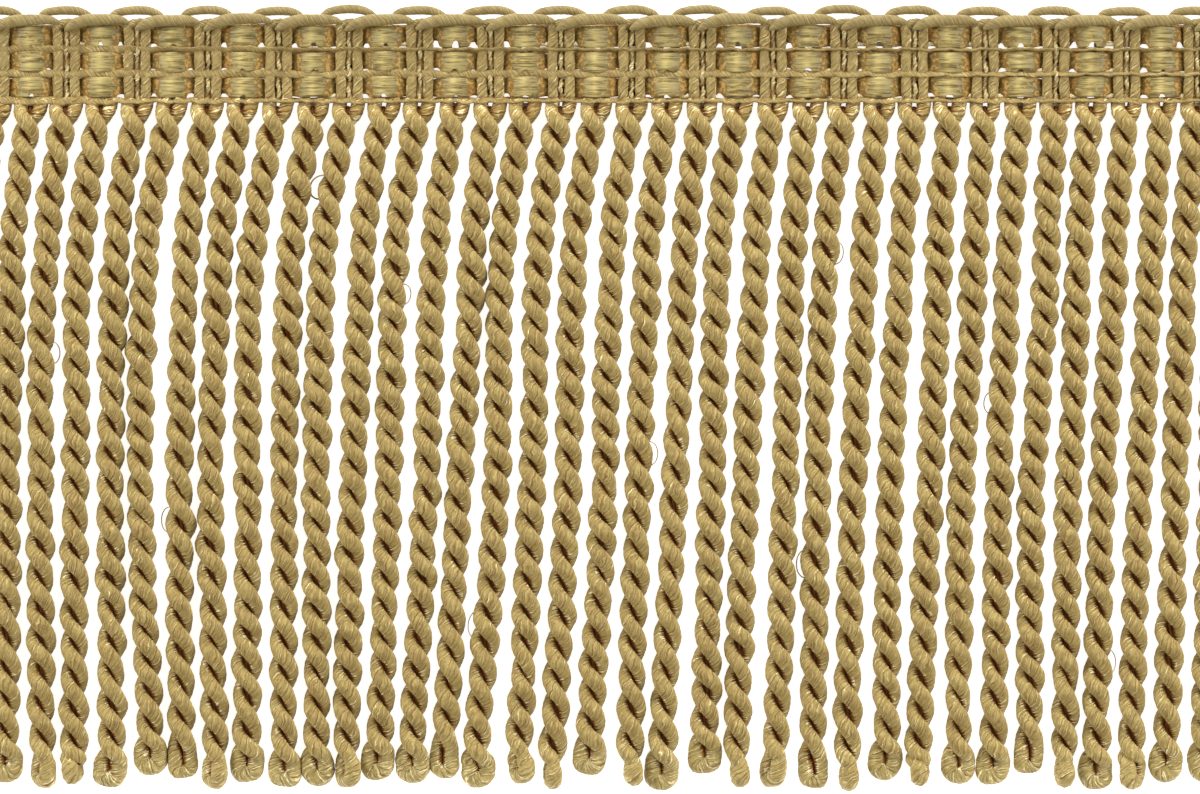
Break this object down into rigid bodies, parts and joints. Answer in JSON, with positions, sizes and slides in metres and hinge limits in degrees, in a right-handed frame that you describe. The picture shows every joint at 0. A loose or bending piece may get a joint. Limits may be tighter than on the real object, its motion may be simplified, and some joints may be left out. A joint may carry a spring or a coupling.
{
  "type": "cord fringe trim",
  "caption": "Cut length of sewn-on edging: a narrow woven heading with a looped top edge and a dense skirt of hard-twisted cords that end in closed loops.",
  "frame": {"origin": "on the surface the trim lies on, under the middle of its length and of its height", "axes": "+X along the trim, +Y from the cords' ends up to the looped edge, +Z out of the face"},
  "size_m": [0.1682, 0.1019, 0.0036],
  "materials": {
    "gold_cord": "twisted filament yarn with a soft sheen",
    "heading_weave": "satin ribbon over bare plies",
    "binding_yarn": "matt spun yarn",
    "edge_cord": "gimp cord with a soft sheen"
  },
  "bodies": {
    "root": {"bullion_skirt": "gold_cord", "heading_band": "heading_weave", "binding_yarn_lower": "binding_yarn", "binding_yarn_upper": "binding_yarn", "edge_loops_front": "edge_cord", "edge_loops_back": "edge_cord"}
  },
  "joints": []
}
